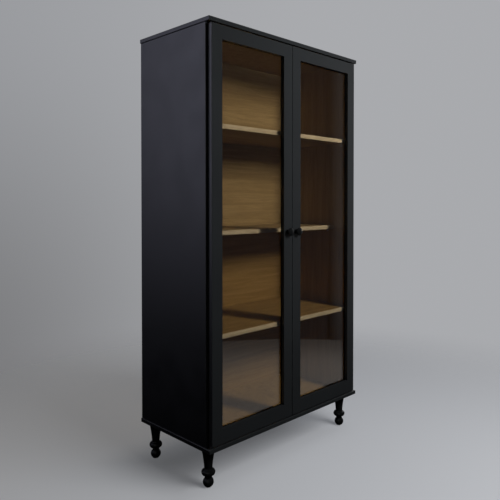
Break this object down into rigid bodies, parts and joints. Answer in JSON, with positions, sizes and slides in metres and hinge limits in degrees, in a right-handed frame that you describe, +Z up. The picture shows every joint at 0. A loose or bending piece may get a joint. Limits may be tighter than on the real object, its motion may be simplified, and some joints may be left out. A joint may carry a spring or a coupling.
{
  "type": "display cabinet",
  "caption": "Floor-standing display cabinet on turned legs, with two glazed doors that swing on pin pivots and shelves behind them.",
  "frame": {"origin": "on the floor, midway between the two ends of the top board and midway between the knobs' tips and the back", "axes": "+Z up, +X to the right for someone facing the doors, +Y towards the back, so the doors face -Y"},
  "size_m": [0.9, 0.457, 1.72],
  "materials": {
    "black_lacquer": "satin black lacquer on board and turned wood",
    "oak_veneer": "matt lacquered oak veneer",
    "dowel_beech": "fluted beech dowel",
    "bronze_glass": "clear float glass with a bronze tint",
    "foam_tape": "closed-cell glazing tape",
    "black_knob": "satin black",
    "zinc": "die-cast zinc",
    "black_steel": "black plated steel plate",
    "bright_steel": "zinc plated steel",
    "nylon": "moulded nylon",
    "catch_plastic": "brown moulded plastic"
  },
  "bodies": {
    "carcass": {"back_panel": "oak_veneer", "back_panel_screws": "bright_steel", "base_board": "black_lacquer", "cam_bolts": "bright_steel", "cam_discs": "zinc", "carcass_dowels": "dowel_beech", "catch_screws": "bright_steel", "front_left_leg": "black_lacquer", "front_right_leg": "black_lacquer", "left_magnetic_catch": "catch_plastic", "left_side_panel": "black_lacquer", "leg_bolts": "bright_steel", "leg_glides": "nylon", "leg_plate_screws": "bright_steel", "leg_plates": "black_steel", "lower_pivot_plates": "bright_steel", "lower_shelf": "oak_veneer", "lower_shelf_supports": "bright_steel", "middle_shelf": "oak_veneer", "middle_shelf_supports": "bright_steel", "pivot_plate_screws": "bright_steel", "pivot_washers": "nylon", "rear_left_leg": "black_lacquer", "rear_right_leg": "black_lacquer", "right_magnetic_catch": "catch_plastic", "right_side_panel": "black_lacquer", "top_board": "black_lacquer", "upper_pivot_plates": "bright_steel", "upper_shelf": "oak_veneer", "upper_shelf_supports": "bright_steel"},
    "left_door": {"left_door_bottom_rail": "black_lacquer", "left_door_dowels": "dowel_beech", "left_door_end_beads": "black_lacquer", "left_door_glass": "bronze_glass", "left_door_glazing_tape": "foam_tape", "left_door_hinge_stile": "black_lacquer", "left_door_knob": "black_knob", "left_door_knob_screw": "bright_steel", "left_door_meeting_stile": "black_lacquer", "left_door_pivot_sockets": "bright_steel", "left_door_side_beads": "black_lacquer", "left_door_socket_screws": "bright_steel", "left_door_strike_plate": "bright_steel", "left_door_strike_screws": "bright_steel", "left_door_top_rail": "black_lacquer"},
    "right_door": {"right_door_bottom_rail": "black_lacquer", "right_door_dowels": "dowel_beech", "right_door_end_beads": "black_lacquer", "right_door_glass": "bronze_glass", "right_door_glazing_tape": "foam_tape", "right_door_hinge_stile": "black_lacquer", "right_door_knob": "black_knob", "right_door_knob_screw": "bright_steel", "right_door_meeting_stile": "black_lacquer", "right_door_pivot_sockets": "bright_steel", "right_door_side_beads": "black_lacquer", "right_door_socket_screws": "bright_steel", "right_door_strike_plate": "bright_steel", "right_door_strike_screws": "bright_steel", "right_door_top_rail": "black_lacquer"}
  },
  "joints": [
    {"name": "left_door_swing", "type": "hinge", "parent": "carcass", "child": "left_door", "pos_m": [-0.429, -0.1925, 0.935], "axis": [0, 0, -1], "range_deg": [0, 105]},
    {"name": "right_door_swing", "type": "hinge", "parent": "carcass", "child": "right_door", "pos_m": [0.429, -0.1925, 0.935], "axis": [0, 0, 1], "range_deg": [0, 105]}
  ]
}
